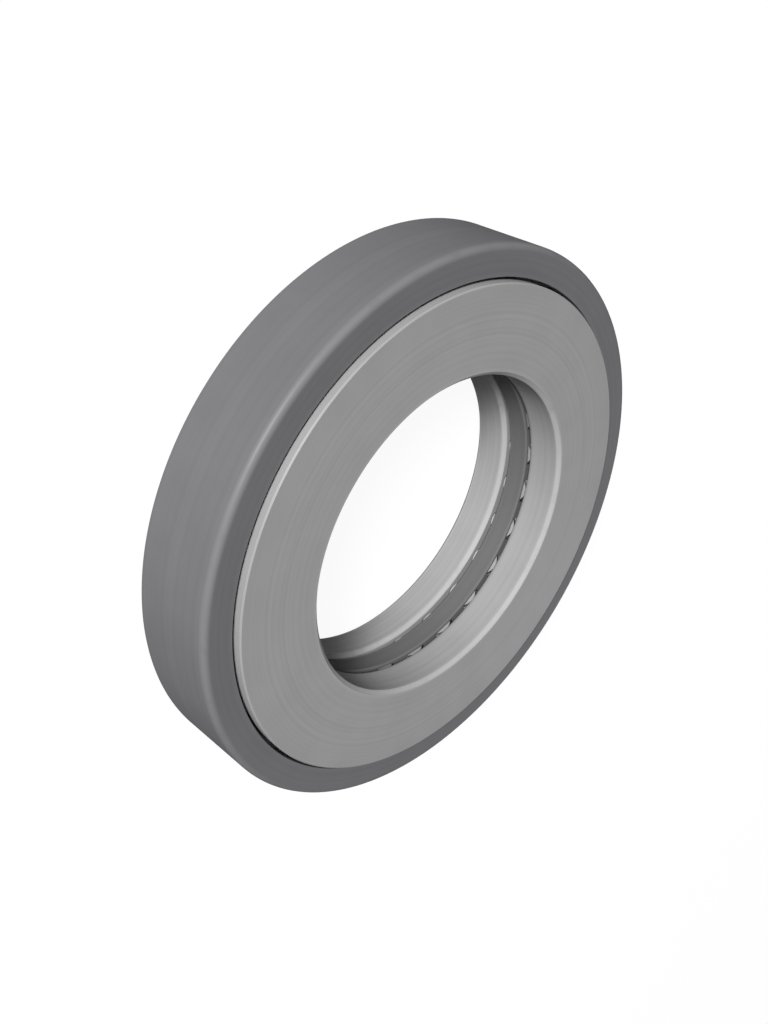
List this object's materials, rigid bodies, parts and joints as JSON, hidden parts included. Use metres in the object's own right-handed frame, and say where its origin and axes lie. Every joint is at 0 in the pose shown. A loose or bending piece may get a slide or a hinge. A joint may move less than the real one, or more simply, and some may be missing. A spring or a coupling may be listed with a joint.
{
  "type": "needle thrust bearing",
  "caption": "Flat axial bearing: needle rollers in a cage run between two steel washers, held together by a dark outer housing ring round them.",
  "frame": {"origin": "on the bearing's axis, in the back face of the housing washer, on which it lies", "axes": "+Z along the bearing's axis, towards the shaft washer's load face; +X along the axis of one roller"},
  "size_m": [0.043, 0.043, 0.0086],
  "materials": {
    "housing_steel": "dark oxidised, fine turned",
    "cage_steel": "dark, smooth pressed",
    "washer_steel": "fine ground",
    "roller_steel": "polished"
  },
  "bodies": {
    "housing": {"housing": "housing_steel", "housing_washer": "washer_steel"},
    "shaft_washer": {"shaft_washer": "washer_steel"},
    "cage": {"cage": "cage_steel"},
    "roller_01": {"roller_01": "roller_steel"},
    "roller_02": {"roller_02": "roller_steel"},
    "roller_03": {"roller_03": "roller_steel"},
    "roller_04": {"roller_04": "roller_steel"},
    "roller_05": {"roller_05": "roller_steel"},
    "roller_06": {"roller_06": "roller_steel"},
    "roller_07": {"roller_07": "roller_steel"},
    "roller_08": {"roller_08": "roller_steel"},
    "roller_09": {"roller_09": "roller_steel"},
    "roller_10": {"roller_10": "roller_steel"},
    "roller_11": {"roller_11": "roller_steel"},
    "roller_12": {"roller_12": "roller_steel"},
    "roller_13": {"roller_13": "roller_steel"},
    "roller_14": {"roller_14": "roller_steel"},
    "roller_15": {"roller_15": "roller_steel"},
    "roller_16": {"roller_16": "roller_steel"},
    "roller_17": {"roller_17": "roller_steel"},
    "roller_18": {"roller_18": "roller_steel"},
    "roller_19": {"roller_19": "roller_steel"},
    "roller_20": {"roller_20": "roller_steel"},
    "roller_21": {"roller_21": "roller_steel"},
    "roller_22": {"roller_22": "roller_steel"},
    "roller_23": {"roller_23": "roller_steel"},
    "roller_24": {"roller_24": "roller_steel"}
  },
  "joints": [
    {"name": "washer_spin", "type": "hinge", "parent": "housing", "child": "shaft_washer", "pos_m": [0, 0, 0.00712], "axis": [0, 0, 1], "continuous": true},
    {"name": "cage_spin", "type": "hinge", "parent": "housing", "child": "cage", "pos_m": [0, 0, 0.00432], "axis": [0, 0, 1], "continuous": true},
    {"name": "roller_01_spin", "type": "hinge", "parent": "cage", "child": "roller_01", "pos_m": [0.0159, 0, 0.00426], "axis": [1, 0, 0], "continuous": true},
    {"name": "roller_02_spin", "type": "hinge", "parent": "cage", "child": "roller_02", "pos_m": [0.01536, 0.00412, 0.00426], "axis": [0.9659, 0.2588, 0], "continuous": true},
    {"name": "roller_03_spin", "type": "hinge", "parent": "cage", "child": "roller_03", "pos_m": [0.01377, 0.00795, 0.00426], "axis": [0.866, 0.5, 0], "continuous": true},
    {"name": "roller_04_spin", "type": "hinge", "parent": "cage", "child": "roller_04", "pos_m": [0.01124, 0.01124, 0.00426], "axis": [0.7071, 0.7071, 0], "continuous": true},
    {"name": "roller_05_spin", "type": "hinge", "parent": "cage", "child": "roller_05", "pos_m": [0.00795, 0.01377, 0.00426], "axis": [0.5, 0.866, 0], "continuous": true},
    {"name": "roller_06_spin", "type": "hinge", "parent": "cage", "child": "roller_06", "pos_m": [0.00412, 0.01536, 0.00426], "axis": [0.2588, 0.9659, 0], "continuous": true},
    {"name": "roller_07_spin", "type": "hinge", "parent": "cage", "child": "roller_07", "pos_m": [0, 0.0159, 0.00426], "axis": [0, 1, 0], "continuous": true},
    {"name": "roller_08_spin", "type": "hinge", "parent": "cage", "child": "roller_08", "pos_m": [-0.00412, 0.01536, 0.00426], "axis": [-0.2588, 0.9659, 0], "continuous": true},
    {"name": "roller_09_spin", "type": "hinge", "parent": "cage", "child": "roller_09", "pos_m": [-0.00795, 0.01377, 0.00426], "axis": [-0.5, 0.866, 0], "continuous": true},
    {"name": "roller_10_spin", "type": "hinge", "parent": "cage", "child": "roller_10", "pos_m": [-0.01124, 0.01124, 0.00426], "axis": [-0.7071, 0.7071, 0], "continuous": true},
    {"name": "roller_11_spin", "type": "hinge", "parent": "cage", "child": "roller_11", "pos_m": [-0.01377, 0.00795, 0.00426], "axis": [-0.866, 0.5, 0], "continuous": true},
    {"name": "roller_12_spin", "type": "hinge", "parent": "cage", "child": "roller_12", "pos_m": [-0.01536, 0.00412, 0.00426], "axis": [-0.9659, 0.2588, 0], "continuous": true},
    {"name": "roller_13_spin", "type": "hinge", "parent": "cage", "child": "roller_13", "pos_m": [-0.0159, 0, 0.00426], "axis": [-1, 0, 0], "continuous": true},
    {"name": "roller_14_spin", "type": "hinge", "parent": "cage", "child": "roller_14", "pos_m": [-0.01536, -0.00412, 0.00426], "axis": [-0.9659, -0.2588, 0], "continuous": true},
    {"name": "roller_15_spin", "type": "hinge", "parent": "cage", "child": "roller_15", "pos_m": [-0.01377, -0.00795, 0.00426], "axis": [-0.866, -0.5, 0], "continuous": true},
    {"name": "roller_16_spin", "type": "hinge", "parent": "cage", "child": "roller_16", "pos_m": [-0.01124, -0.01124, 0.00426], "axis": [-0.7071, -0.7071, 0], "continuous": true},
    {"name": "roller_17_spin", "type": "hinge", "parent": "cage", "child": "roller_17", "pos_m": [-0.00795, -0.01377, 0.00426], "axis": [-0.5, -0.866, 0], "continuous": true},
    {"name": "roller_18_spin", "type": "hinge", "parent": "cage", "child": "roller_18", "pos_m": [-0.00412, -0.01536, 0.00426], "axis": [-0.2588, -0.9659, 0], "continuous": true},
    {"name": "roller_19_spin", "type": "hinge", "parent": "cage", "child": "roller_19", "pos_m": [0, -0.0159, 0.00426], "axis": [0, -1, 0], "continuous": true},
    {"name": "roller_20_spin", "type": "hinge", "parent": "cage", "child": "roller_20", "pos_m": [0.00412, -0.01536, 0.00426], "axis": [0.2588, -0.9659, 0], "continuous": true},
    {"name": "roller_21_spin", "type": "hinge", "parent": "cage", "child": "roller_21", "pos_m": [0.00795, -0.01377, 0.00426], "axis": [0.5, -0.866, 0], "continuous": true},
    {"name": "roller_22_spin", "type": "hinge", "parent": "cage", "child": "roller_22", "pos_m": [0.01124, -0.01124, 0.00426], "axis": [0.7071, -0.7071, 0], "continuous": true},
    {"name": "roller_23_spin", "type": "hinge", "parent": "cage", "child": "roller_23", "pos_m": [0.01377, -0.00795, 0.00426], "axis": [0.866, -0.5, 0], "continuous": true},
    {"name": "roller_24_spin", "type": "hinge", "parent": "cage", "child": "roller_24", "pos_m": [0.01536, -0.00412, 0.00426], "axis": [0.9659, -0.2588, 0], "continuous": true}
  ],
  "couplings": [
    {"joint": "cage_spin", "follows": "washer_spin", "ratio": 0.5},
    {"joint": "roller_01_spin", "follows": "washer_spin", "ratio": -6.36},
    {"joint": "roller_02_spin", "follows": "washer_spin", "ratio": -6.36},
    {"joint": "roller_03_spin", "follows": "washer_spin", "ratio": -6.36},
    {"joint": "roller_04_spin", "follows": "washer_spin", "ratio": -6.36},
    {"joint": "roller_05_spin", "follows": "washer_spin", "ratio": -6.36},
    {"joint": "roller_06_spin", "follows": "washer_spin", "ratio": -6.36},
    {"joint": "roller_07_spin", "follows": "washer_spin", "ratio": -6.36},
    {"joint": "roller_08_spin", "follows": "washer_spin", "ratio": -6.36},
    {"joint": "roller_09_spin", "follows": "washer_spin", "ratio": -6.36},
    {"joint": "roller_10_spin", "follows": "washer_spin", "ratio": -6.36},
    {"joint": "roller_11_spin", "follows": "washer_spin", "ratio": -6.36},
    {"joint": "roller_12_spin", "follows": "washer_spin", "ratio": -6.36},
    {"joint": "roller_13_spin", "follows": "washer_spin", "ratio": -6.36},
    {"joint": "roller_14_spin", "follows": "washer_spin", "ratio": -6.36},
    {"joint": "roller_15_spin", "follows": "washer_spin", "ratio": -6.36},
    {"joint": "roller_16_spin", "follows": "washer_spin", "ratio": -6.36},
    {"joint": "roller_17_spin", "follows": "washer_spin", "ratio": -6.36},
    {"joint": "roller_18_spin", "follows": "washer_spin", "ratio": -6.36},
    {"joint": "roller_19_spin", "follows": "washer_spin", "ratio": -6.36},
    {"joint": "roller_20_spin", "follows": "washer_spin", "ratio": -6.36},
    {"joint": "roller_21_spin", "follows": "washer_spin", "ratio": -6.36},
    {"joint": "roller_22_spin", "follows": "washer_spin", "ratio": -6.36},
    {"joint": "roller_23_spin", "follows": "washer_spin", "ratio": -6.36},
    {"joint": "roller_24_spin", "follows": "washer_spin", "ratio": -6.36}
  ]
}
